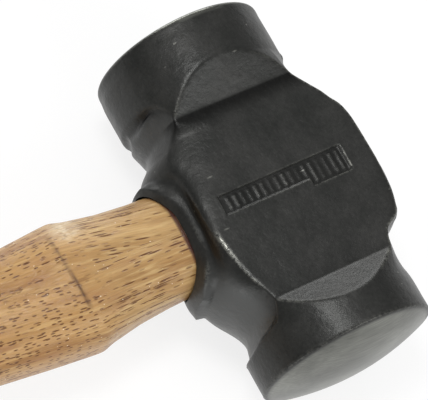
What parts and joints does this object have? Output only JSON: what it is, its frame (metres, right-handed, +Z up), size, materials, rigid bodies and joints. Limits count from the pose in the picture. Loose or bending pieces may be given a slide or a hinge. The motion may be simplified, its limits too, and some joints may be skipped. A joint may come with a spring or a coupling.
{
  "type": "rounding hammer",
  "caption": "Farrier's rounding hammer: a forged steel head with a flat and a shallow domed striking end, flat cheeks and a collared eye, on a shouldered wooden handle held by wedges.",
  "frame": {"origin": "the middle of the bottom of the hammer's box, on the surface it lies on", "axes": "+X along the handle towards the outer end of the eye, +Y along the head towards the flat striking end, +Z up out of the upper cheek"},
  "size_m": [0.3534, 0.0924, 0.045],
  "materials": {
    "forged_steel": "dark oxide scale with a low sheen; the striking faces are ground bright",
    "varnished_hardwood": "satin clear varnish over open grain",
    "wedge_wood": "bare sawn hardwood",
    "wedge_steel": "hammered bright steel"
  },
  "bodies": {
    "root": {"head": "forged_steel", "handle": "varnished_hardwood", "wooden_wedge": "wedge_wood", "steel_wedge_1": "wedge_steel", "steel_wedge_2": "wedge_steel"}
  },
  "joints": []
}
